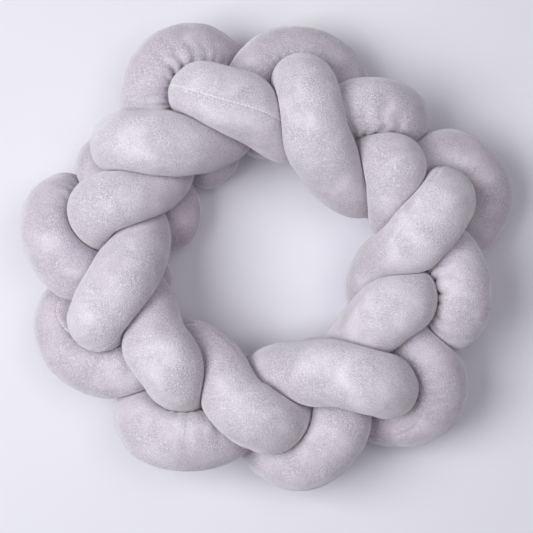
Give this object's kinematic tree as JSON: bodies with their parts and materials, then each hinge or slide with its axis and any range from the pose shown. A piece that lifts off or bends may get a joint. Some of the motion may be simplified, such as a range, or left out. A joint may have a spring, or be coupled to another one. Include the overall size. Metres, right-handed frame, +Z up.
{
  "type": "braided cushion",
  "caption": "Ring cushion plaited from thick stuffed velvet tubes, lying flat on a floor or seat, with an open middle.",
  "frame": {"origin": "centre of the outline in plan, on the floor that the cushion lies on", "axes": "+Z up from the floor, through the open middle; +X to the right and +Y away in the picture"},
  "size_m": [0.5088, 0.4814, 0.1638],
  "materials": {
    "velvet": "short-pile velvet, pale lilac grey"
  },
  "bodies": {
    "root": {"strand_1": "velvet", "strand_2": "velvet", "strand_3": "velvet"}
  },
  "joints": []
}
